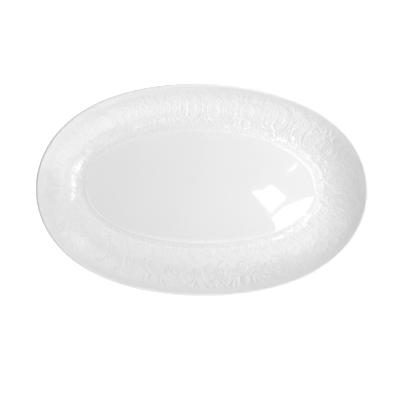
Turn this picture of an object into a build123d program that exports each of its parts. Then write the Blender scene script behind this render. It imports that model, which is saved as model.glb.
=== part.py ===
from build123d import *
from math import atan2, cos, degrees, hypot, radians, sin, tan
import os

# China serving platter, in millimetres. The origin is on the surface that it stands on, under the
# middle of the dish. +X runs along the long way of the oval, +Y across it, and +Z is up.
#
# Every ring of the platter follows one oval, the edge of the well, drawn as eight tangent arcs. A
# cross-section is drawn in a plane across that oval: its x is the distance outward from the edge of
# the well (negative towards the middle), and its y is the height above the table.

# Driving dimensions
rim_width = 52.0  # from the edge of the well to the outside of the lip, all the way round
platter_height = 37.0
well_half_length = 118.0
end_radius = 35.6  # arcs of the oval: round each end, each shoulder, and along each side
shoulder_radius = 94.0
end_half_angle = 46.6  # where the end arc meets the shoulder arc, from the long axis
shoulder_end_angle = 75.3  # where the shoulder arc meets the side arc, from the long axis

foot_height = 4.0
foot_width = 5.0
foot_setback = 5.0  # outer side of the foot ring, inside the edge of the well
foot_draft = 0.6  # how much each side of the ring leans in towards its standing edge
ground_height = 0.8  # the standing edge is ground bare after the glaze firing

floor_thickness = 5.0
well_cove_width = 16.0
well_cove_rise = 1.2
land_width = 6.0  # level strip between the well and the slope of the rim

moulding_width = 2.0
moulding_height = 0.8

bead_count = 116
bead_radius = 1.6
bead_line = 4.3  # middle of the row of beads, outside the edge of the well

lip_round = 1.8
lip_length = 5.5
lip_slope = 50.0  # degrees above level

relief_height = 0.8
relief_margin = 2.0  # plain strip at each side of the ornament, in degrees of the rim's curve
medallion_count = 8
medallion_line = 26.0  # middle of the ornament, outside the edge of the well
arch_width = 1.5
arch_gap = 2.4  # from the line between two medallions to the back of each arch
arch_radius = 25.0
arch_half_angle = 40.0
inner_arch_radius = 19.0
inner_arch_half_angle = 36.0
ring_boss_radius = 2.4
ring_boss_hole = 1.2
ring_boss_place = (11.4, -14.6)  # from the middle of the line between two medallions
palmette_root = 8.0  # outward from the middle of the ornament
palmette_petal_angles = (-36, -18, 0, 18, 36)
palmette_petal = (3.6, 0.9)  # half length and half width
palmette_reach = 5.4  # from the root to the middle of a petal
palmette_eye = 1.9
petal_count = 5
petal_radius = 2.5
petal_reach = 4.0
rosette_eye = 1.9
leaf_length = 9.0
leaf_bulge = 1.8
leaf_rows = (  # along from the middle of a medallion, outward from its middle line, and turn
    (11.0, 5.0, 35),
    (11.0, -6.0, -35),
    (20.0, 9.0, 60),
    (21.0, -9.5, -60),
    (22.0, 0.0, 0),
    (5.0, 12.5, 70),
    (5.0, -12.5, -70),
)

# Heights of the main surfaces
well_edge_height = foot_height + floor_thickness + well_cove_rise

# Centres of the arcs of the oval
side_lean = radians(shoulder_end_angle)
end_centre = well_half_length - end_radius
shoulder_x = end_centre - (shoulder_radius - end_radius) * cos(radians(end_half_angle))
shoulder_y = -(shoulder_radius - end_radius) * sin(radians(end_half_angle))
side_radius = shoulder_radius + shoulder_x / cos(side_lean)
side_centre = shoulder_y - shoulder_x * tan(side_lean)


def oval_line(outward):
    """The oval at this distance outside the edge of the well, as arcs in the plane of the table."""
    end_arc = 2 * end_half_angle
    shoulder_arc = shoulder_end_angle - end_half_angle
    side_arc = 180 - 2 * shoulder_end_angle
    right, left = -end_half_angle, 180 - end_half_angle
    with BuildLine() as line:
        for turn, side in ((right, 1), (left, -1)):
            CenterArc((side * end_centre, 0), end_radius + outward, turn, end_arc)
            turn += end_arc
            CenterArc(
                (side * shoulder_x, side * shoulder_y), shoulder_radius + outward, turn, shoulder_arc
            )
            turn += shoulder_arc
            CenterArc((0, side * side_centre), side_radius + outward, turn, side_arc)
            turn += side_arc
            CenterArc(
                (-side * shoulder_x, side * shoulder_y), shoulder_radius + outward, turn, shoulder_arc
            )
    return line.wire()


def places_round(outward, count, first=0.0):
    """Evenly spaced places on the oval, the first one this share of a turn on from its right end.

    Each place has its x along the oval and its y outward.
    """
    line = oval_line(outward)
    right_end = radians(end_half_angle) * (end_radius + outward) / line.length
    places = []
    for index in range(count):
        fraction = (right_end + first + index / count) % 1
        along = line.tangent_at(fraction)
        frame = Plane(origin=line.position_at(fraction), x_dir=-along, z_dir=(0, 0, 1))
        places.append(frame.location)
    return places


def shifted(places, offset):
    """The same places, each moved by this offset in its own directions."""
    return [place * Location(offset) for place in places]


edge_of_well = oval_line(0)
start_direction = edge_of_well.tangent_at(0)
section = Plane(
    origin=edge_of_well.position_at(0),
    x_dir=start_direction.cross(Vector(0, 0, 1)),
    z_dir=-start_direction,
)

# The section of the rim: the lip is a straight band with a round end, and the top of the rim is one
# arc that leaves the level land gently and meets the lip at its slope.
lip_lean = radians(lip_slope)
lip_centre = (rim_width - lip_round, platter_height - lip_round)
seam_centre = (lip_centre[0] - lip_length * cos(lip_lean), lip_centre[1] - lip_length * sin(lip_lean))
lip_side = (-lip_round * sin(lip_lean), lip_round * cos(lip_lean))
lip_top = (lip_centre[0] + lip_side[0], lip_centre[1] + lip_side[1])
lip_bottom = (lip_centre[0] - lip_side[0], lip_centre[1] - lip_side[1])
seam_top = (seam_centre[0] + lip_side[0], seam_centre[1] + lip_side[1])
seam_bottom = (seam_centre[0] - lip_side[0], seam_centre[1] - lip_side[1])
run = seam_top[0] - land_width
rise = seam_top[1] - well_edge_height
first_slope = 2 * degrees(atan2(rise, run)) - lip_slope
curve_radius = hypot(run, rise) / (2 * sin(radians(lip_slope - first_slope) / 2))
curve_centre = (
    seam_top[0] - curve_radius * sin(lip_lean),
    seam_top[1] + curve_radius * cos(lip_lean),
)
lip_direction = (cos(lip_lean), sin(lip_lean))

# The floor of the dish, level in the middle, with a shallow cove up to its edge.
with BuildPart() as well:
    with BuildSketch(Plane.XY.offset(foot_height)):
        with BuildLine():
            add(oval_line(-well_cove_width))
        make_face()
    extrude(amount=floor_thickness)
    with BuildSketch(section):
        with BuildLine():
            Line((0, well_edge_height), (0, foot_height))
            Line((0, foot_height), (-well_cove_width, foot_height))
            Line((-well_cove_width, foot_height), (-well_cove_width, foot_height + floor_thickness))
            TangentArc(
                (-well_cove_width, foot_height + floor_thickness), (0, well_edge_height), tangent=(1, 0)
            )
        make_face()
    sweep(path=edge_of_well)

# The broad sloping flange, of one thickness at the lip and a little more at the well.
with BuildPart() as rim:
    with BuildSketch(section):
        with BuildLine():
            Line((0, foot_height), (0, well_edge_height))
            Line((0, well_edge_height), (land_width, well_edge_height))
            CenterArc(curve_centre, curve_radius, first_slope - 90, lip_slope - first_slope)
            Line(seam_top, seam_bottom)
            TangentArc(seam_bottom, (0, foot_height), tangent=(-lip_direction[0], -lip_direction[1]))
        make_face()
    sweep(path=edge_of_well)

# The plain smooth band and the round edge that finish the rim.
with BuildPart() as lip:
    with BuildSketch(section):
        with BuildLine():
            Line(seam_top, lip_top)
            CenterArc(lip_centre, lip_round, lip_slope + 90, -180)
            Line(lip_bottom, seam_bottom)
            Line(seam_bottom, seam_top)
        make_face()
    sweep(path=edge_of_well)

# The ring underneath, which lifts the glazed floor off the table.
foot_outer = -foot_setback
foot_inner = foot_outer - foot_width
ground_lean = foot_draft * ground_height / foot_height
with BuildPart() as foot_ring:
    with BuildSketch(section):
        with BuildLine():
            Polyline(
                (foot_inner, foot_height),
                (foot_inner + foot_draft - ground_lean, ground_height),
                (foot_outer - foot_draft + ground_lean, ground_height),
                (foot_outer, foot_height),
                close=True,
            )
        make_face()
    sweep(path=edge_of_well)

# The bare ground edge of that ring, which is what touches the table.
with BuildPart() as foot_edge:
    with BuildSketch(section):
        with BuildLine():
            Polyline(
                (foot_inner + foot_draft - ground_lean, ground_height),
                (foot_inner + foot_draft, 0),
                (foot_outer - foot_draft, 0),
                (foot_outer - foot_draft + ground_lean, ground_height),
                close=True,
            )
        make_face()
    sweep(path=edge_of_well)

# The thin rounded line that borders the well, on the level land.
with BuildPart() as well_moulding:
    with BuildSketch(section):
        with BuildLine():
            Line((0, well_edge_height), (moulding_width, well_edge_height))
            ThreePointArc(
                (moulding_width, well_edge_height),
                (moulding_width / 2, well_edge_height + moulding_height),
                (0, well_edge_height),
            )
        make_face()
    sweep(path=edge_of_well)

# The row of half-round beads outside it.
bead_places = places_round(bead_line, bead_count)
with BuildPart() as bead_row:
    with Locations(*shifted(bead_places, (0, 0, well_edge_height))):
        Sphere(bead_radius, arc_size1=0, align=(Align.CENTER, Align.CENTER, Align.MIN))

# The relief lies in a thin layer that follows the curve of the rim. Each motif is cut from the layer
# by its outline in plan, so its back fits the rim exactly.
band_start = first_slope - 90 + relief_margin
band_arc = lip_slope - first_slope - 2 * relief_margin
with BuildPart() as relief_layer:
    with BuildSketch(section):
        with BuildLine():
            back = CenterArc(curve_centre, curve_radius, band_start, band_arc)
            front = CenterArc(curve_centre, curve_radius - relief_height, band_start, band_arc)
            Line(back @ 0, front @ 0)
            Line(back @ 1, front @ 1)
        make_face()
    sweep(path=edge_of_well)

# Where two medallions meet, and the middles of the medallions.
junctions = places_round(medallion_line, medallion_count)
medallions = places_round(medallion_line, medallion_count, first=0.5 / medallion_count)

# Two arches stand back to back where medallions meet, with a second arch inside each.
with BuildPart() as scroll_arches:
    add(relief_layer.part)
    with BuildSketch():
        with Locations(*junctions):
            for side, middle in ((1, 180), (-1, 0)):
                for radius, half in (
                    (arch_radius, arch_half_angle),
                    (inner_arch_radius, inner_arch_half_angle),
                ):
                    centre = (side * (arch_gap + arch_radius), 0)
                    arch = CenterArc(centre, radius, middle - half, 2 * half, mode=Mode.PRIVATE)
                    SlotArc(arch, arch_width)
    extrude(amount=platter_height, mode=Mode.INTERSECT)

# A small ring at the foot of each pair of arches.
with BuildPart() as ring_bosses:
    add(relief_layer.part)
    with BuildSketch():
        for side in (1, -1):
            offset = (side * ring_boss_place[0], ring_boss_place[1], 0)
            with Locations(*shifted(junctions, offset)):
                Circle(ring_boss_radius)
                Circle(ring_boss_hole, mode=Mode.SUBTRACT)
    extrude(amount=platter_height, mode=Mode.INTERSECT)

# A fan of five petals between the arches, towards the lip.
with BuildPart() as palmettes:
    add(relief_layer.part)
    with BuildSketch():
        with Locations(*shifted(junctions, (0, palmette_root, 0))):
            Circle(palmette_eye)
            for angle in palmette_petal_angles:
                with Locations(Location((0, 0, 0), (0, 0, angle)) * Location((0, palmette_reach, 0))):
                    Ellipse(palmette_petal[1], palmette_petal[0])
    extrude(amount=platter_height, mode=Mode.INTERSECT)

# One open flower in the middle of each medallion.
with BuildPart() as rosettes:
    add(relief_layer.part)
    with BuildSketch():
        with Locations(*medallions):
            Circle(rosette_eye)
            with PolarLocations(petal_reach, petal_count, start_angle=90):
                Circle(petal_radius)
    extrude(amount=platter_height, mode=Mode.INTERSECT)

# Pointed leaves round each flower, the same on both sides of it.
with BuildSketch() as leaf:
    with BuildLine():
        ThreePointArc((-leaf_length / 2, 0), (0, leaf_bulge), (leaf_length / 2, 0))
        ThreePointArc((-leaf_length / 2, 0), (0, -leaf_bulge), (leaf_length / 2, 0))
    make_face()
turn_length = oval_line(medallion_line).length
with BuildPart() as leaf_sprays:
    add(relief_layer.part)
    with BuildSketch():
        for along, outward, turn in leaf_rows:
            for side in (1, -1):
                first = 0.5 / medallion_count - side * along / turn_length
                places = places_round(medallion_line, medallion_count, first % 1)
                with Locations(*shifted(places, (0, outward, 0))):
                    add(leaf.sketch, rotation=side * turn)
    extrude(amount=platter_height, mode=Mode.INTERSECT)

pieces = {
    "well": well,
    "well_moulding": well_moulding,
    "rim": rim,
    "lip": lip,
    "foot_ring": foot_ring,
    "foot_edge": foot_edge,
    "bead_row": bead_row,
    "scroll_arches": scroll_arches,
    "ring_bosses": ring_bosses,
    "palmettes": palmettes,
    "rosettes": rosettes,
    "leaf_sprays": leaf_sprays,
}
os.makedirs("parts", exist_ok=True)
for name, piece in pieces.items():
    piece.part.label = name
    export_step(piece.part, f"parts/{name}.step")
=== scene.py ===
"""A white porcelain serving platter on a plain pale floor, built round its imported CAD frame."""

from math import atan2, cos, hypot, pi, radians, sin, tan

import bpy
import numpy as np
from mathutils import Matrix, Vector


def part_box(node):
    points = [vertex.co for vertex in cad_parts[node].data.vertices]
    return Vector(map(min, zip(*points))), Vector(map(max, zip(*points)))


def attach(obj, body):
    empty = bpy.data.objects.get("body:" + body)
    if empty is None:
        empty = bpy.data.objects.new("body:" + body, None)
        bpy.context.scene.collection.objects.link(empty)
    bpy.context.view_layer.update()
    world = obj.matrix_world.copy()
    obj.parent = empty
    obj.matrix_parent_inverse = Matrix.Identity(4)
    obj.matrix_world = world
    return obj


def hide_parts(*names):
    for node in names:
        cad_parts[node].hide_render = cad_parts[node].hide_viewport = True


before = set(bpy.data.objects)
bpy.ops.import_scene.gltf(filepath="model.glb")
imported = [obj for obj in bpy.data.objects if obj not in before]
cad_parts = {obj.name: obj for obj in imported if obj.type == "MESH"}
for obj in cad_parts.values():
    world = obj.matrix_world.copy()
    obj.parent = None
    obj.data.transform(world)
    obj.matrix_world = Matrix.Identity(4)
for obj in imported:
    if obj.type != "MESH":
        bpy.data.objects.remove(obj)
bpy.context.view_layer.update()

MM = 0.001

# ---------------------------------------------------------------------------------------------
# Sizes, from the frame. The whole script works in metres, and the relief is drawn in millimetres.
# ---------------------------------------------------------------------------------------------
well_low, well_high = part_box("well")
rim_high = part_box("rim")[1]
lip_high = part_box("lip")[1]
foot_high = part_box("foot_ring")[1]
ground_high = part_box("foot_edge")[1]
moulding_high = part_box("well_moulding")[1]
bead_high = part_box("bead_row")[1]

half_length = well_high.x
half_width = well_high.y
squareness = 0.02  # how much fuller than an ellipse the oval is, halfway between its ends and sides
rim_width = lip_high.x - half_length
edge_height = well_high.z
under_height = well_low.z
platter_height = lip_high.z
seam_out = rim_high.x - half_length
table_points = 20001  # of the table of lengths round the oval
crease_angle = radians(62)  # edges sharper than this stay crisp

# The floor of the dish
well_sag = 1.2 * MM
well_cove = 0.2  # share of that depth that is in the cove at the edge
cove_power = 9  # the higher, the nearer to the edge the cove begins
middle_gap = 0.015  # about this share of the way out is closed by one fan of faces

# The section of the rim, as in the CAD: a level land, one arc, a straight band and a round end.
land_width = 6.0 * MM
land_softness = 1.3 * MM
blur_reach = 4  # times the softness
fine_step = 0.02 * MM  # of the section while it is worked out
overrun = 5 * MM  # of the fine section past both ends, for the blur
firm_band = 8 * MM  # next to the seam, where nothing is softened
lip_round = 1.8 * MM
lip_length = 5.5 * MM
lip_slope = radians(50)

# The foot ring. It goes a little way into the floor, and its fillets meet the underside.
foot_outer = foot_high.x - half_length
foot_inner = -10.0 * MM
foot_draft = 0.55 * MM
foot_fillet = 1.6 * MM
fillet_reach = 0.7  # of the fillet's radius, from the side of the ring to the middle of the fillet
foot_root = 0.5 * MM  # how far it goes into the floor
ground_height = ground_high.z
ground_softness = 0.45 * MM
ground_inset = 0.03 * MM  # of the bare edge from the sides of the ring
ground_overlap = 0.02 * MM  # of the bare edge into the ring

# The line and the beads round the well, softened by the glaze. Their feet are sunk into the land.
moulding_line = (moulding_high.x - half_length) / 2
moulding_softness = 0.25  # share of the CAD's height that the glaze leaves
moulding_height = moulding_softness * (moulding_high.z - edge_height)
moulding_spread = 1.0 * MM
moulding_reach = 2.2 * moulding_spread
moulding_root = 0.4 * MM  # below the land
moulding_dip = 0.1 * MM  # how much more its inner side is sunk, one spread past the edge of the well
bead_count = 116
bead_radius = bead_high.z - edge_height
bead_line = bead_high.x - half_length - bead_radius
bead_softness = 0.16  # share of the CAD's height that the glaze leaves
bead_spread = 1.25  # times the CAD's radius
feet_sink = 0.04 * MM
bead_root = 0.3 * MM  # below the foot of the dome

# The ornament
bays = 8
middle_line = 26.0  # of the ornament, outside the edge of the well, in millimetres
relief_middle = middle_line * MM
relief_depth = 0.72  # share of the drawn heights that the glaze leaves
relief_softness = (1.0, 1.1)  # of the blur, in rows and in columns of the mesh
hollow_blur_softness = 4  # of the wider blur that finds the hollows for the painted shade, in rows and columns
seam_fade = 1.2 * MM  # where the relief runs out before the plain band
unevenness = 0.04  # of the modelled surface under the glaze, in millimetres
unevenness_spread = 3.0  # in rows and columns
uneven_band = (6.0, 9.0, 42.0, 46.0)  # where it starts, is full, starts to fade and ends
uneven_seed = 7
bay_middle = 0.5  # the start line of the motifs inside a bay, as a share of the bay
column_spacing = 0.28  # where the columns stand closest under the ornament, in millimetres
spare_columns = 3  # on each side of a motif
motif_margin = 1.0  # round a motif, in millimetres
line_steps = 70  # of a line from end to end
vine_steps = 110
thinnest_line = 0.35  # share of the height that the thinnest stretch of a line keeps

# Mesh fineness
columns = 16 * 102
relief_rows = 104
plain_columns = 720
floor_rings = 54
under_rows = 12
under_step = 4  # rings of the floor's top for each ring of its underside
band_points = 8
lip_points = 22
moulding_points = 41
fillet_points = 8
ground_points = 6
bead_rings = 9
bead_sides = 20

# The camera
camera_lens = 214
camera_distance = 2.41  # from the target
camera_lean = (-0.113, 0.126, 1)  # direction from the target to the camera
camera_roll = 0.0366  # in radians
camera_target = (-0.0034, -0.0095, platter_height)

# Softboxes: place, size of the square and power in watts
softboxes = (
    ("overhead", (0.0, 0.51, 1.41), 1.3, 6.65),
    ("front_low", (0.0, -1.41, 0.51), 1.3, 8.4),
    ("front_high", (0.0, -0.33, 0.62), 0.5, 0.341),
    ("front_right_low", (1.0, -1.0, 0.51), 1.3, 7.88),
    ("right_high", (0.18, -0.11, 0.40), 0.4, 0.321),
    ("right", (0.30, 0.17, 0.29), 0.4, 0.364),
    ("back_right_low", (0.21, 0.37, 0.15), 0.4, 0.69),
    ("back_left", (-0.75, 0.75, 1.06), 1.3, 4.92),
    ("sparkle_right_low", (0.42, -0.29, 0.85), 0.014, 0.40),
    ("sparkle_right", (0.46, -0.13, 0.87), 0.014, 0.35),
    ("sparkle_right_high", (0.43, 0.03, 0.90), 0.014, 0.40),
    ("sparkle_front", (0.15, -0.53, 0.86), 0.018, 0.55),
)
# The lamps that the well mirrors fade towards their edge. Each is several squares of these relative
# sizes, one behind another, and each of them this share of the lamp's distance behind the last.
fading_lamps = ("front_high", "right_high")
fade_sizes = (0.5, 0.8, 1.1, 1.4)
fade_gap = 0.003
world_strength = 0.027  # of the even light from all round
floor_reach = 30.0  # from the middle to each side
floor_gap = 0.05 * MM  # below the standing edge

# The bright shapes that the well mirrors: outlines on a level plane over the right of the dish
window_height = 0.2  # above the floor
window_strength = 5.0
bright_shapes = (
    ((0.076, -0.026), (0.088, -0.024), (0.095, -0.019), (0.101, -0.022), (0.112, -0.030), (0.096, -0.044)),
    ((0.097, -0.047), (0.112, -0.037), (0.135, -0.027), (0.140, -0.050), (0.110, -0.060)),
    ((0.110, -0.008), (0.119, -0.003), (0.119, -0.006)),
)


# ---------------------------------------------------------------------------------------------
# The oval and the sections that are carried round it
# ---------------------------------------------------------------------------------------------
def oval(turns):
    """Points on the edge of the well at these angles, and the outward direction at each."""
    swell = 1 + squareness * np.sin(2 * turns) ** 2
    swell_rate = 2 * squareness * np.sin(4 * turns)
    x = half_length * swell * np.cos(turns)
    y = half_width * swell * np.sin(turns)
    x_rate = half_length * (swell_rate * np.cos(turns) - swell * np.sin(turns))
    y_rate = half_width * (swell_rate * np.sin(turns) + swell * np.cos(turns))
    outward = np.stack([y_rate, -x_rate], -1) / np.hypot(x_rate, y_rate)[:, None]
    return np.stack([x, y], -1), outward


def length_table(offset):
    """The length along the oval at this distance outside the well, against the angle."""
    turns = np.linspace(0, 2 * pi, table_points)
    points, outward = oval(turns)
    steps = np.linalg.norm(np.diff(points + offset * outward, axis=0), axis=1)
    return np.concatenate([[0], np.cumsum(steps)]), turns


def even_turns(count, offset):
    """Angles that divide the oval, at this distance outside the well, into equal lengths."""
    lengths, turns = length_table(offset)
    return np.interp(np.arange(count) / count * lengths[-1], lengths, turns)


def grid_object(name, grid, closed_section=True):
    """A mesh from rows of points that go round the oval, each row joined to the next.

    The rows run outward over the top and back underneath. A section that isn't closed has its first
    and last rows filled with one point each, for a disc.
    """
    rows, count, _ = grid.shape
    vertices = grid.reshape(-1, 3)
    row = np.arange(rows if closed_section else rows - 1)[:, None]
    column = np.arange(count)[None, :]
    here = row * count + column
    after = row * count + (column + 1) % count
    out_here = (row + 1) % rows * count + column
    out_after = (row + 1) % rows * count + (column + 1) % count
    quads = np.stack([here, out_here, out_after, after], -1).reshape(-1, 4)
    faces = [quads]
    if not closed_section:
        ring = np.arange(count)
        following = (ring + 1) % count
        top = np.full(count, len(vertices))
        bottom = top + 1
        last = (rows - 1) * count
        middle = np.array([[0, 0, grid[0, :, 2].mean()], [0, 0, grid[-1, :, 2].mean()]])
        vertices = np.concatenate([vertices, middle])
        faces.append(np.stack([top, ring, following], -1))
        faces.append(np.stack([bottom, last + following, last + ring], -1))
    mesh = bpy.data.meshes.new(name)
    loops = np.concatenate([f.reshape(-1) for f in faces])
    sizes = np.concatenate([np.full(len(f), f.shape[1]) for f in faces])
    mesh.vertices.add(len(vertices))
    mesh.vertices.foreach_set("co", vertices.astype(np.float32).reshape(-1))
    mesh.loops.add(len(loops))
    mesh.loops.foreach_set("vertex_index", loops.astype(np.int32))
    mesh.polygons.add(len(sizes))
    starts = np.concatenate([[0], np.cumsum(sizes)[:-1]])
    mesh.polygons.foreach_set("loop_start", starts.astype(np.int32))
    mesh.update(calc_edges=True)
    mesh.validate()
    mesh.shade_smooth()
    mesh.set_sharp_from_angle(angle=crease_angle)
    piece = bpy.data.objects.new(name, mesh)
    bpy.context.scene.collection.objects.link(piece)
    return piece


def carried(section, count):
    """A section of (outward, up) points carried round the oval, as a grid of points."""
    points, outward = oval(even_turns(count, relief_middle))
    grid = np.empty((len(section), count, 3))
    grid[..., :2] = points[None] + section[:, 0, None, None] * outward[None]
    grid[..., 2] = section[:, 1, None]
    return grid


def round_bend(centre, radius, first, last, count):
    """Points of a section along an arc, angles in radians from outward towards up."""
    angle = np.linspace(first, last, count)
    return np.stack([centre[0] + radius * np.cos(angle), centre[1] + radius * np.sin(angle)], -1)


def straight(first, last, count):
    """Points of a section along a line, without its last one."""
    share = np.arange(count)[:, None] / count
    return np.array(first) * (1 - share) + np.array(last) * share


# ---------------------------------------------------------------------------------------------
# The section of the rim
# ---------------------------------------------------------------------------------------------
lip_direction = np.array([cos(lip_slope), sin(lip_slope)])
lip_side = np.array([-sin(lip_slope), cos(lip_slope)])
lip_centre = np.array([rim_width - lip_round, platter_height - lip_round])
lip_top = lip_centre + lip_round * lip_side
lip_bottom = lip_centre - lip_round * lip_side
seam_centre = lip_centre - lip_length * lip_direction
seam_top = seam_centre + lip_round * lip_side
seam_bottom = seam_centre - lip_round * lip_side


def curved_top():
    """The top of the rim: (outward, up) points of equal steps and the slope at each."""
    run, rise = seam_top[0] - land_width, seam_top[1] - edge_height
    first_slope = 2 * atan2(rise, run) - lip_slope
    radius = hypot(run, rise) / (2 * sin((lip_slope - first_slope) / 2))
    centre = seam_top - radius * np.array([sin(lip_slope), -cos(lip_slope)])
    out = np.arange(-overrun, seam_top[0] + overrun, fine_step)
    inside = np.clip(out, land_width, seam_top[0])
    up = centre[1] - np.sqrt(radius**2 - (inside - centre[0]) ** 2)
    up = np.where(out < land_width, edge_height, up)
    up = np.where(out > seam_top[0], seam_top[1] + (out - seam_top[0]) * tan(lip_slope), up)
    reach = np.arange(-blur_reach * land_softness, blur_reach * land_softness, fine_step)
    weight = np.exp(-((reach / land_softness) ** 2) / 2)
    softened = np.convolve(up, weight / weight.sum(), mode="same")
    softened = np.where(out < seam_top[0] - firm_band, softened, up)
    keep = (out >= 0) & (out <= seam_top[0])
    out, softened = out[keep], softened[keep]
    length = np.concatenate([[0], np.cumsum(np.hypot(np.diff(out), np.diff(softened)))])
    rows = np.linspace(0, length[-1], relief_rows)
    slope = np.arctan(np.gradient(softened, out))
    top = np.stack([np.interp(rows, length, out), np.interp(rows, length, softened)], -1)
    top[-1] = seam_top
    return top, np.interp(rows, length, slope)


def curved_under():
    """The underside of the rim, from the lip in to the edge of the well, as an arc."""
    chord = np.array([0, under_height]) - seam_bottom
    last_slope = 2 * atan2(-chord[1], -chord[0]) - lip_slope
    radius = np.hypot(*chord) / (2 * sin((lip_slope - last_slope) / 2))
    centre = seam_bottom - radius * np.array([sin(lip_slope), -cos(lip_slope)])
    return round_bend(centre, radius, lip_slope - pi / 2, last_slope - pi / 2, under_rows)


# ---------------------------------------------------------------------------------------------
# The relief: heights in millimetres over the top of the rim
# ---------------------------------------------------------------------------------------------
top_section, top_slope = curved_top()
turn_lengths, turn_angles = length_table(relief_middle)
turn_length = turn_lengths[-1]
bay_length = turn_length / bays / MM
oval_points, oval_outward = oval(even_turns(columns, relief_middle))
plan = (oval_points[None] + top_section[:, 0, None, None] * oval_outward[None]) / MM
relief = np.zeros(plan.shape[:2])


def stamp(motif, along, outward, turn):
    """Raises the relief where a motif stands.

    A motif is its reach and its height over local (right, up) positions. along is measured in
    millimetres round the middle of the rim, from the right end of the platter, and outward from the
    edge of the well. turn is anticlockwise.
    """
    reach, shape = motif
    angle = np.interp([along * MM % turn_length], turn_lengths, turn_angles)
    point, direction = oval(angle)
    up = direction[0]
    right = np.array([up[1], -up[0]])
    origin = point[0] / MM + outward * up
    column = int(round(along / (turn_length / MM) * columns))
    span = int(reach / column_spacing) + spare_columns
    near = np.arange(column - span, column + span + 1) % columns
    offset = plan[:, near] - origin
    p, q = offset @ right, offset @ up
    c, s = cos(turn), sin(turn)
    lift = shape(c * p + s * q, -s * p + c * q)
    relief[:, near] = np.maximum(relief[:, near], lift)


def stamp_round(motif, x=0.0, outward=middle_line, turn=0.0, start=0.0, both_sides=True):
    """Stamps a motif in every bay, x from its start line, and mirrored on the other side."""
    reach, shape = motif
    mirrored = (reach, lambda p, q: shape(-p, q))
    for bay in range(bays):
        middle = (bay + start) * bay_length
        stamp(motif, middle - x, outward, turn)
        if both_sides:
            stamp(mirrored, middle + x, outward, -turn)


def dome(distance, radius, height):
    """A soft round boss."""
    return height * np.sqrt(np.clip(1 - (distance / radius) ** 2, 0, 1))


def bump(distance, width, height):
    """A ridge or spot that rises and falls softly over this half-width."""
    return height * np.cos(np.clip(np.abs(distance) / width, 0, 1) * pi / 2) ** 2


def line_motif(line, widths, height):
    """A raised line through these points, with its half-width at each."""

    def shape(p, q):
        gap = np.hypot(p[..., None] - line[:, 0], q[..., None] - line[:, 1])
        nearest = gap.argmin(-1)
        distance = np.take_along_axis(gap, nearest[..., None], -1)[..., 0]
        width = widths[nearest]
        return bump(distance, width, height * np.clip(width / widths.max(), thinnest_line, 1))

    return np.hypot(*line.T).max() + widths.max() + motif_margin, shape


def scroll_line(start, heading, length, bend, steps=line_steps):
    """A line drawn by turning: bend gives its curvature, per millimetre, over the share 0 to 1."""
    share = (np.arange(steps) + 0.5) / steps
    angle = heading + np.cumsum(bend(share)) * length / steps
    step = length / steps * np.stack([np.cos(angle), np.sin(angle)], -1)
    return np.array(start) + np.concatenate([[[0, 0]], np.cumsum(step, axis=0)])


def with_mirror(lower):
    """A line that goes down from its first point, with its mirror image above it."""
    return np.concatenate([(lower * [1, -1])[::-1], lower[1:]])


def leaf_motif(length, width, height):
    """A leaf from its root at the origin up to its tip, with a sunk midrib."""
    widest, fullness, thinnest, tip = 0.75, 0.8, 0.05, 0.001
    rib_depth, rib_width, rib_end = 0.45, 0.38, 0.85

    def shape(p, q):
        share = np.clip(q / length, tip, 1 - tip)
        edge = width * np.sin(pi * share**widest) ** fullness
        inside = (q > 0) & (q < length)
        body = np.sqrt(np.clip(1 - (p / np.maximum(edge, thinnest)) ** 2, 0, 1))
        rib = 1 - rib_depth * np.exp(-((p / rib_width) ** 2)) * (share < rib_end)
        return height * inside * body * rib

    return length + motif_margin, shape


def flower_motif(radius, petals, height, eye):
    """An open flower of round petals, dished between a raised edge and the eye."""
    notch, notch_power, roundness = 0.34, 0.6, 4
    dish, crease, crease_power = 0.45, 0.38, 0.5
    gutter_depth, gutter_radius, gutter_width = 0.75, 1.15 * eye, 0.28 * eye
    eye_height = 1.15 * height

    def shape(p, q):
        r = np.hypot(p, q)
        fold = np.abs(np.cos(petals * np.arctan2(p, q) / 2))
        share = r / (radius * (1 - notch + notch * fold**notch_power))
        body = np.sqrt(np.clip(1 - share**roundness, 0, 1))
        body *= 1 - dish + dish * share
        body *= 1 - crease + crease * fold**crease_power
        gutter = 1 - gutter_depth * np.exp(-(((r - gutter_radius) / gutter_width) ** 2))
        return np.maximum(height * body * gutter, dome(r, eye, eye_height))

    return radius + motif_margin, shape


def hoop_motif(radius, width, height):
    """A thin plain ring."""
    reach = radius + width + motif_margin
    return reach, lambda p, q: bump(np.hypot(p, q) - radius, width, height)


def pearl_motif(radius, height):
    """A pearl."""
    return radius + motif_margin, lambda p, q: dome(np.hypot(p, q), radius, height)


def ring_motif(radius, width, height):
    """A small ring with a dot in it."""
    reach, hoop = hoop_motif(radius, width, height)
    dot_radius, dot_height = 0.32 * radius, 0.8 * height
    return reach, lambda p, q: np.maximum(hoop(p, q), dome(np.hypot(p, q), dot_radius, dot_height))


def leafy_line(line, shares, size, height, sides):
    """Leaves growing from the sides of a line inside a bay, smaller towards its end."""
    taper, lean, slimness = 0.45, 0.8, 0.27
    for share in shares:
        at = int(share * (len(line) - 2))
        step = line[at + 1] - line[at]
        along = atan2(step[1], step[0]) - pi / 2
        length = size * (1 - taper * share)
        leaf = leaf_motif(length, slimness * length, height)
        for side in sides:
            stamp_round(leaf, line[at][0], middle_line + line[at][1], along + side * lean, bay_middle)


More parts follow.
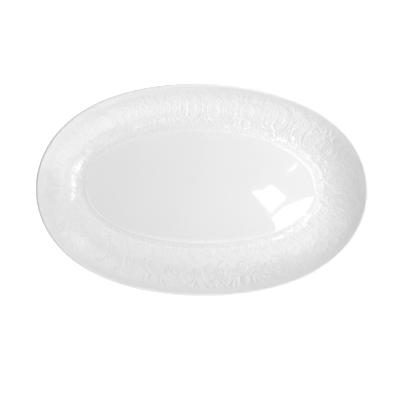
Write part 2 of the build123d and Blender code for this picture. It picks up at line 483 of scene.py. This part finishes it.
def draw_scrolls():
    """The paired C scrolls that frame the bays, each a double line that curls up at both ends."""
    back, radius, taper = 2.4, 26.0, 0.35
    curl_start, curl_power, taper_power = 0.56, 1.2, 3
    # Inset from the outer line, half-width, height, half of the length and curl at the ends
    for inset, width, height, half, curl in ((0.0, 1.1, 0.66, 25.5, 0.62), (2.6, 0.65, 0.34, 15.5, 0.0)):

        def bend(share):
            curled = np.clip((share - curl_start) / (1 - curl_start), 0, 1)
            return 1 / (radius - inset) + curl * curled**curl_power

        line = with_mirror(scroll_line((inset, 0), -pi / 2, half, bend))
        widths = width * (1 - taper * np.abs(np.linspace(-1, 1, len(line))) ** taper_power)
        stamp_round(line_motif(line, widths, height), x=back)
    for rise in (14.2, -14.2):
        stamp_round(pearl_motif(radius=1.25, height=0.62), x=9.6, outward=middle_line + rise)


def draw_inner_arches():
    """A second arch inside each bay, with a row of small pearls behind it."""
    back, radius, half, curl, curl_power = 18.3, 22.0, 16.5, 0.30, 6
    row_middle, row_radius, row_half_angle, row_count = 37.3, 16.6, 0.85, 11
    lower = scroll_line((0, 0), -pi / 2, half, lambda share: 1 / radius + curl * share**curl_power)
    line = with_mirror(lower)
    stamp_round(line_motif(line, widths=np.full(len(line), 0.95), height=0.46), x=back)
    pearl = pearl_motif(radius=0.8, height=0.4)
    for angle in np.linspace(-row_half_angle, row_half_angle, row_count):
        x, outward = row_middle - row_radius * cos(angle), middle_line + row_radius * sin(angle)
        stamp_round(pearl, x, outward)


def draw_gallery():
    """Flowers, rings and leaves between the two arches of each side of a bay."""
    stamp_round(flower_motif(radius=3.7, petals=5, height=0.5, eye=1.2), x=11.3, turn=0.2)
    ring = ring_motif(radius=2.1, width=0.8, height=0.5)
    pearl = pearl_motif(radius=0.9, height=0.4)
    # Place along the rim and from the middle line, lean, length, half-width and height
    leaves = (
        (15.0, 10.6, -0.9, 5.4, 1.5, 0.45),
        (14.0, 11.4, -0.1, 5.4, 1.4, 0.42),
        (16.0, 9.6, -1.5, 4.2, 1.2, 0.4),
    )
    for way, root in ((1, 0), (-1, pi)):
        stamp_round(ring, x=12.4, outward=middle_line + way * 7.4)
        for x, rise, lean, length, width, height in leaves:
            leaf = leaf_motif(length, width, height)
            stamp_round(leaf, x, middle_line + way * rise, way * lean + root)
        for x, rise in ((8.2, 4.9), (14.8, 3.7)):
            stamp_round(pearl, x, middle_line + way * rise)


def draw_palmettes():
    """A fan of petals towards the lip and one towards the well at each junction of the scrolls."""
    width, lip_height, well_height, well_share = 1.4, 0.46, 0.44, 0.9
    lip_root, well_root, bud_rise = 33.6, 18.6, 2.6
    # Lean and length of each petal
    for lean, length in ((0.0, 10.5), (0.36, 9.8), (0.74, 8.6), (1.12, 6.6)):
        both = lean > 0
        upper = leaf_motif(length, width, lip_height)
        lower = leaf_motif(length * well_share, width, well_height)
        stamp_round(upper, outward=lip_root, turn=-lean, both_sides=both)
        stamp_round(lower, outward=well_root, turn=pi + lean, both_sides=both)
    for outward in (33.2, 19.0):
        stamp_round(pearl_motif(radius=1.6, height=0.7), outward=outward, both_sides=False)
    stamp_round(pearl_motif(radius=1.2, height=0.55), both_sides=False)
    bud = leaf_motif(length=3.8, width=0.9, height=0.4)
    stamp_round(bud, outward=middle_line + bud_rise, both_sides=False)
    stamp_round(bud, outward=middle_line - bud_rise, turn=pi, both_sides=False)


def draw_centre():
    """The medallion in the middle of each bay: a flower in a thin ring, and a spray above and below."""
    single = {"start": bay_middle, "both_sides": False}
    stamp_round(flower_motif(radius=5.4, petals=8, height=0.7, eye=1.7), **single)
    stamp_round(hoop_motif(radius=9.6, width=0.75, height=0.45), **single)
    petals, petal_root = 16, 6.2
    for angle in np.arange(petals) / petals * 2 * pi:
        x, outward = -petal_root * sin(angle), middle_line + petal_root * cos(angle)
        stamp_round(leaf_motif(length=2.6, width=0.8, height=0.4), x, outward, angle, **single)
    lip_root, well_root, width, lip_height, well_height = 36.6, 15.2, 1.35, 0.55, 0.5
    # Lean and length of each leaf of the sprays
    for lean, length in ((0.0, 7.6), (0.5, 6.6), (1.0, 5.4)):
        sides = {"start": bay_middle, "both_sides": lean > 0}
        stamp_round(leaf_motif(length, width, lip_height), outward=lip_root, turn=-lean, **sides)
        stamp_round(leaf_motif(length, width, well_height), outward=well_root, turn=pi + lean, **sides)
    for outward in (36.4, 15.4):
        stamp_round(pearl_motif(radius=1.2, height=0.6), outward=outward, **single)


def draw_vines():
    """Two leafy spirals on each side of a bay, each curling round a floret."""
    curve, tightening, tightening_power = 0.07, 0.34, 1.6
    root_width, tip_width, curl_points = 0.95, 0.65, 16
    # Start, heading, length, way it turns and height
    vines = (
        ((5.6, 8.6), 0.75, 38.0, -1, 0.55),
        ((5.8, -8.2), -0.65, 36.0, 1, 0.5),
    )
    floret = flower_motif(radius=2.3, petals=5, height=0.5, eye=0.8)
    for start, heading, length, way, height in vines:

        def bend(share):
            return way * (curve + tightening * share**tightening_power)

        line = scroll_line(start, heading, length, bend, vine_steps)
        widths = np.linspace(root_width, tip_width, len(line))
        stamp_round(line_motif(line, widths, height), start=bay_middle)
        leafy_line(line, shares=(0.06, 0.17, 0.28, 0.39, 0.50), size=6.0, height=0.45, sides=(way, -way))
        leafy_line(line, shares=(0.60, 0.70), size=4.6, height=0.4, sides=(-way,))
        x, rise = line[-curl_points:].mean(axis=0)
        stamp_round(floret, x, middle_line + rise, start=bay_middle)


def draw_fillings():
    """Small leaves and pearls in the gaps that the other motifs leave."""
    slimness, leaf_height = 0.3, 0.42
    # Place along the rim and outward, turn and length
    leaves = (
        (22.5, 27.4, -1.2, 4.0),
        (22.5, 24.6, -1.9, 4.0),
        (28.6, 40.4, -0.9, 5.0),
        (33.8, 41.2, -1.4, 4.6),
        (6.0, 41.4, -1.3, 4.8),
        (12.0, 42.0, -1.5, 4.2),
        (29.0, 9.8, -2.2, 5.0),
        (33.5, 9.0, -2.8, 4.0),
        (38.5, 8.8, -3.4, 3.6),
        (24.0, 9.6, -3.3, 4.2),
        (19.0, 9.4, -3.0, 4.0),
        (14.0, 9.6, -3.3, 4.2),
        (9.0, 9.2, -3.0, 4.0),
    )
    # Place along the rim and outward
    pearls = (
        (12.0, 26.0),
        (20.0, 26.1),
        (16.0, 27.4),
        (16.0, 24.7),
        (26.6, 38.4),
        (26.4, 13.4),
        (20.0, 42.0),
        (38.6, 41.6),
        (21.5, 7.6),
        (16.5, 7.6),
        (11.5, 7.6),
    )
    for x, outward, turn, length in leaves:
        stamp_round(leaf_motif(length, slimness * length, leaf_height), x, outward, turn, bay_middle)
    for x, outward in pearls:
        stamp_round(pearl_motif(radius=0.95, height=0.42), x, outward, start=bay_middle)


draw_scrolls()
draw_inner_arches()
draw_gallery()
draw_palmettes()
draw_centre()
draw_vines()
draw_fillings()


# ---------------------------------------------------------------------------------------------
# Pieces
# ---------------------------------------------------------------------------------------------
def soften(heights, rows, cols):
    """The relief under its coat of glaze: blurred over these rows and columns of the mesh."""

    def kernel(width):
        reach = np.arange(-3 * int(width + 1), 3 * int(width + 1) + 1)
        weight = np.exp(-((reach / width) ** 2) / 2)
        return reach, weight / weight.sum()

    reach, weight = kernel(cols)
    round_way = sum(w * np.roll(heights, r, axis=1) for r, w in zip(reach, weight))
    reach, weight = kernel(rows)
    index = np.arange(len(heights))[:, None] + reach[None, :]
    index = np.clip(index, 0, len(heights) - 1)
    return np.einsum("rkc,k->rc", round_way[index], weight)


def finish_piece(piece, slot, *nodes):
    """Fixes a piece to the platter, in place of these CAD nodes."""
    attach(piece, "root")
    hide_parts(*nodes)
    piece.data.materials.append(materials[slot])


def point_values(piece, name, values):
    """Stores one number for each vertex, for the material to read."""
    attribute = piece.data.attributes.new(name, "FLOAT", "POINT")
    filled = np.zeros(len(piece.data.vertices), np.float32)
    filled[: len(values)] = values
    attribute.data.foreach_set("value", filled)


def modelled_surface():
    """The relief under its glaze with the slight unevenness of the ground, in millimetres."""
    out = top_section[:, 0] / MM
    first, full, fading, last = uneven_band
    band = np.clip((out - first) / (full - first), 0, 1) * np.clip((last - out) / (last - fading), 0, 1)
    waves = np.random.default_rng(uneven_seed).standard_normal(relief.shape)
    waves = soften(waves, unevenness_spread, unevenness_spread)
    waves *= unevenness / waves.std()
    fade = np.clip((seam_out - top_section[:, 0]) / seam_fade, 0, 1)
    return soften(relief_depth * relief, *relief_softness) * fade[:, None] + waves * band[:, None]


def make_rim():
    """The ornamented rim: its top raised by the relief, its underside plain."""
    surface = modelled_surface()
    # How far each point lies below its blurred surroundings: the mask for the painted shade in the relief's
    # hollows
    hollow_shade = np.clip(soften(surface, hollow_blur_softness, hollow_blur_softness) - surface, 0, None)
    normal = np.stack([-np.sin(top_slope), np.cos(top_slope)], -1)
    out = top_section[:, 0, None] + normal[:, 0, None] * surface * MM
    up = top_section[:, 1, None] + normal[:, 1, None] * surface * MM
    grid = carried(np.concatenate([top_section, curved_under()]), columns)
    grid[:relief_rows, :, :2] = oval_points[None] + out[..., None] * oval_outward[None]
    grid[:relief_rows, :, 2] = up
    piece = grid_object("rim_glazed", grid)
    # The painted shade mask, stored for the material to read
    point_values(piece, "hollow_shade", (hollow_shade / hollow_shade.max()).reshape(-1))
    ornament = ("scroll_arches", "ring_bosses", "palmettes", "rosettes", "leaf_sprays")
    finish_piece(piece, "glazed_porcelain", "rim", *ornament)


def make_lip():
    """The plain band and the round end."""
    section = np.concatenate(
        [
            straight(seam_top, lip_top, band_points),
            round_bend(lip_centre, lip_round, lip_slope + pi / 2, lip_slope - pi / 2, lip_points),
            straight(lip_bottom, seam_bottom, band_points)[1:],
            seam_bottom[None],
        ]
    )
    finish_piece(grid_object("lip_glazed", carried(section, columns)), "glazed_porcelain", "lip")


def make_well():
    """The floor: a shallow dish with a cove up to its edge, and a flat underside."""
    top = np.sin(np.linspace(middle_gap, 1, floor_rings) * pi / 2)
    under = top[::-under_step]
    drop = well_sag * (1 - (1 - well_cove) * top**2 - well_cove * top**cove_power)
    points, _ = oval(even_turns(plain_columns, 0))
    grid = np.empty((len(top) + len(under), plain_columns, 3))
    grid[:, :, :2] = np.concatenate([top, under])[:, None, None] * points[None]
    grid[: len(top), :, 2] = edge_height - drop[:, None]
    grid[len(top) :, :, 2] = under_height
    piece = grid_object("well_glazed", grid, closed_section=False)
    finish_piece(piece, "glazed_porcelain", "well")


def make_moulding():
    """The thin rounded line round the well, melting into the glaze on both sides."""
    out = moulding_line + np.linspace(-moulding_reach, moulding_reach, moulding_points)
    rise = moulding_height * np.exp(-(((out - moulding_line) / moulding_spread) ** 2))
    sink = feet_sink + moulding_dip * np.clip(-out / moulding_spread, 0, None) ** 2
    top = np.stack([out, edge_height - sink + rise], -1)
    root = edge_height - moulding_root
    section = np.concatenate([top, [[out[-1], root], [out[0], root]]])
    piece = grid_object("moulding_glazed", carried(section, plain_columns))
    finish_piece(piece, "glazed_porcelain", "well_moulding")


def one_bead():
    """The vertices of a bead about its centre, level by level from its top, and its faces."""
    share = np.linspace(0, 1, bead_rings)
    out = bead_spread * bead_radius * share
    up = bead_softness * bead_radius * np.cos(share * pi / 2) ** 2 - feet_sink
    out = np.append(out, out[-1])
    up = np.append(up, up[-1] - bead_root)
    around = np.arange(bead_sides) / bead_sides * 2 * pi
    vertices = [(0, 0, up[0])]
    for level_out, level_up in zip(out[1:], up[1:]):
        vertices += [(level_out * cos(a), level_out * sin(a), level_up) for a in around]
    vertices.append((0, 0, up[-1]))
    levels = len(out) - 1
    last = 1 + (levels - 1) * bead_sides
    faces = []
    for side in range(bead_sides):
        after = (side + 1) % bead_sides
        faces.append((0, 1 + side, 1 + after))
        for level in range(levels - 1):
            inner = 1 + level * bead_sides
            outer = inner + bead_sides
            faces.append((inner + side, outer + side, outer + after, inner + after))
        faces.append((len(vertices) - 1, last + after, last + side))
    return np.array(vertices), faces


def make_beads():
    """The row of low round beads, each with a soft foot under the glaze."""
    bead, faces = one_bead()
    points, outward = oval(even_turns(bead_count, bead_line))
    centres = np.column_stack([points + bead_line * outward, np.full(bead_count, edge_height)])
    vertices = (centres[:, None, :] + bead[None]).reshape(-1, 3)
    all_faces = []
    for start in range(0, len(vertices), len(bead)):
        all_faces += [tuple(start + corner for corner in face) for face in faces]
    mesh = bpy.data.meshes.new("beads_glazed")
    mesh.from_pydata(vertices.tolist(), [], all_faces)
    mesh.shade_smooth()
    piece = bpy.data.objects.new("beads_glazed", mesh)
    bpy.context.scene.collection.objects.link(piece)
    finish_piece(piece, "glazed_porcelain", "bead_row")


def make_foot():
    """The glazed foot ring, filleted into the floor, and its bare ground standing edge."""
    outer, inner = foot_outer - foot_draft, foot_inner + foot_draft
    outer_root = foot_outer + fillet_reach * foot_fillet
    inner_root = foot_inner - fillet_reach * foot_fillet
    fillet_level = under_height - foot_fillet
    root_level = under_height + foot_root
    ring = np.concatenate(
        [
            round_bend((outer_root, fillet_level), foot_fillet, pi / 2, pi, fillet_points),
            [[outer, ground_height], [inner, ground_height]],
            round_bend((inner_root, fillet_level), foot_fillet, 0, pi / 2, fillet_points),
            [[inner_root, root_level], [outer_root, root_level]],
        ]
    )
    piece = grid_object("foot_ring_glazed", carried(ring, plain_columns))
    finish_piece(piece, "glazed_porcelain", "foot_ring")
    soft = ground_softness
    level = ground_height + ground_overlap
    edge = np.concatenate(
        [
            [[outer - ground_inset, level]],
            round_bend((outer - soft, soft), soft, 0, -pi / 2, ground_points),
            round_bend((inner + soft, soft), soft, -pi / 2, -pi, ground_points),
            [[inner + ground_inset, level]],
        ]
    )
    piece = grid_object("foot_edge_bare", carried(edge, plain_columns))
    finish_piece(piece, "bare_porcelain", "foot_edge")


# ---------------------------------------------------------------------------------------------
# Materials
# ---------------------------------------------------------------------------------------------
def new_material(name):
    """An empty node material, with functions that link its nodes and add new ones."""
    material = bpy.data.materials.new(name)
    material.use_nodes = True
    tree = material.node_tree
    tree.nodes.clear()

    def add(kind, inputs=(), **settings):
        node = tree.nodes.new(kind)
        for key, value in settings.items():
            setattr(node, key, value)
        for key, value in dict(inputs).items():
            node.inputs[key].default_value = value
        return node

    return material, tree.links.new, add


def glazed_porcelain():
    """White porcelain under a clear gloss glaze, with painted shade in the hollows of the relief, tinted a
    little cool as where glaze pools.
    """
    material, link, add = new_material("glazed_porcelain")
    output = add("ShaderNodeOutputMaterial")
    glaze = {"IOR": 1.5, "Coat Weight": 0.6, "Coat Roughness": 0.02, "Coat IOR": 1.5}
    shader = add("ShaderNodeBsdfPrincipled", glaze)
    position = add("ShaderNodeTexCoord")

    clouds = add("ShaderNodeTexNoise", {"Scale": 14, "Detail": 3})
    whites = {"A": (0.745, 0.745, 0.742, 1), "B": (0.765, 0.765, 0.765, 1)}
    tone = add("ShaderNodeMix", whites, data_type="RGBA")
    link(position.outputs["Object"], clouds.inputs["Vector"])
    link(clouds.outputs["Fac"], tone.inputs["Factor"])

    # Painted shade: the colour is darkened a little, and cooled slightly, in the hollows of the relief
    hollow_shade = add("ShaderNodeAttribute", attribute_name="hollow_shade")
    depth = {"B": (0.95, 0.952, 0.955, 1)}
    shaded_tone = add("ShaderNodeMix", depth, data_type="RGBA", blend_type="MULTIPLY")
    link(tone.outputs["Result"], shaded_tone.inputs["A"])
    link(hollow_shade.outputs["Fac"], shaded_tone.inputs["Factor"])
    link(shaded_tone.outputs["Result"], shader.inputs["Base Color"])

    ripple = add("ShaderNodeTexNoise", {"Scale": 90, "Detail": 2})
    gloss = add("ShaderNodeMapRange", {"To Min": 0.03, "To Max": 0.07})
    link(position.outputs["Object"], ripple.inputs["Vector"])
    link(ripple.outputs["Fac"], gloss.inputs["Value"])
    link(gloss.outputs["Result"], shader.inputs["Roughness"])
    surface = add("ShaderNodeBump", {"Strength": 0.02, "Distance": 0.6 * MM})
    link(ripple.outputs["Fac"], surface.inputs["Height"])
    link(surface.outputs["Normal"], shader.inputs["Normal"])
    link(shader.outputs["BSDF"], output.inputs["Surface"])
    return material


def bare_porcelain():
    """The ground edge of the foot: unglazed, matt, a little warmer, with fine grinding grain."""
    material, link, add = new_material("bare_porcelain")
    output = add("ShaderNodeOutputMaterial")
    shader = add("ShaderNodeBsdfPrincipled")
    position = add("ShaderNodeTexCoord")
    grain = add("ShaderNodeTexNoise", {"Scale": 1400, "Detail": 5})
    bodies = {"A": (0.60, 0.585, 0.55, 1), "B": (0.70, 0.69, 0.66, 1)}
    tone = add("ShaderNodeMix", bodies, data_type="RGBA")
    rough = add("ShaderNodeMapRange", {"To Min": 0.75, "To Max": 0.95})
    surface = add("ShaderNodeBump", {"Strength": 0.35, "Distance": 0.1 * MM})
    link(position.outputs["Object"], grain.inputs["Vector"])
    link(grain.outputs["Fac"], tone.inputs["Factor"])
    link(grain.outputs["Fac"], rough.inputs["Value"])
    link(grain.outputs["Fac"], surface.inputs["Height"])
    link(tone.outputs["Result"], shader.inputs["Base Color"])
    link(rough.outputs["Result"], shader.inputs["Roughness"])
    link(surface.outputs["Normal"], shader.inputs["Normal"])
    link(shader.outputs["BSDF"], output.inputs["Surface"])
    return material


def pale_floor():
    """A plain white floor, bright enough that no shadow shows on it."""
    material, link, add = new_material("pale_floor")
    output = add("ShaderNodeOutputMaterial")
    paint = {"Base Color": (0.7, 0.7, 0.7, 1), "Roughness": 0.8}
    glow = {"Emission Color": (1, 1, 1, 1), "Emission Strength": 0.7}
    shader = add("ShaderNodeBsdfPrincipled", {**paint, **glow})
    link(shader.outputs["BSDF"], output.inputs["Surface"])
    return material


materials = {"glazed_porcelain": glazed_porcelain(), "bare_porcelain": bare_porcelain()}

make_rim()
make_lip()
make_well()
make_moulding()
make_beads()
make_foot()


# ---------------------------------------------------------------------------------------------
# Floor, light and camera
# ---------------------------------------------------------------------------------------------
def make_floor():
    """The floor, a hair below the platter so that the two never share a plane."""
    mesh = bpy.data.meshes.new("floor")
    corners = [(-1, -1), (1, -1), (1, 1), (-1, 1)]
    mesh.from_pydata([(floor_reach * x, floor_reach * y, -floor_gap) for x, y in corners], [], [(0, 1, 2, 3)])
    floor = bpy.data.objects.new("floor", mesh)
    bpy.context.scene.collection.objects.link(floor)
    mesh.materials.append(pale_floor())


def soft_light(name, place, size, power):
    """A square softbox at this place, facing the platter."""
    data = bpy.data.lights.new(name, "AREA")
    data.shape = "SQUARE"
    data.size = size
    data.energy = power
    light = bpy.data.objects.new(name, data)
    light.location = place
    light.rotation_euler = Vector(place).to_track_quat("Z", "Y").to_euler()
    bpy.context.scene.collection.objects.link(light)


def make_lights():
    """Every softbox. One that fades is a stack of squares that share its power by their area."""
    for name, place, size, power in softboxes:
        shares = fade_sizes if name in fading_lamps else (1,)
        whole = sum(share**2 for share in shares)
        for number, share in enumerate(shares):
            behind = Vector(place) * (1 + fade_gap * number)
            soft_light("%s_%d" % (name, number), behind, size * share, power * share**2 / whole)


def bright_shape(name, corners):
    """A bright flat shape overhead, like a window, that the glaze mirrors but the camera can't see."""
    mesh = bpy.data.meshes.new(name)
    mesh.from_pydata([(x, y, window_height) for x, y in corners], [], [range(len(corners))])
    shape = bpy.data.objects.new(name, mesh)
    bpy.context.scene.collection.objects.link(shape)
    material, link, add = new_material(name)
    glow = add("ShaderNodeEmission", {"Strength": window_strength})
    output = add("ShaderNodeOutputMaterial")
    link(glow.outputs["Emission"], output.inputs["Surface"])
    mesh.materials.append(material)
    shape.visible_camera = False
    shape.visible_shadow = False


def make_world():
    """An even, faint white light from everywhere."""
    world = bpy.data.worlds.new("studio")
    bpy.context.scene.world = world
    world.use_nodes = True
    backdrop = world.node_tree.nodes["Background"]
    backdrop.inputs["Color"].default_value = (1, 1, 1, 1)
    backdrop.inputs["Strength"].default_value = world_strength


def make_camera():
    """Nearly overhead, leaning a little to the back left, with the platter just above the middle."""
    data = bpy.data.cameras.new("camera")
    data.lens = camera_lens
    camera = bpy.data.objects.new("camera", data)
    bpy.context.scene.collection.objects.link(camera)
    bpy.context.scene.camera = camera
    back = Vector(camera_lean).normalized()
    upright = Vector((-sin(camera_roll), cos(camera_roll), 0))
    right = upright.cross(back).normalized()
    camera.location = Vector(camera_target) + back * camera_distance
    camera.rotation_euler = Matrix((right, back.cross(right), back)).transposed().to_euler()


make_floor()
make_world()
make_lights()
for number, corners in enumerate(bright_shapes):
    bright_shape("window_%d" % number, corners)
make_camera()
bpy.context.scene.view_settings.view_transform = "Standard"
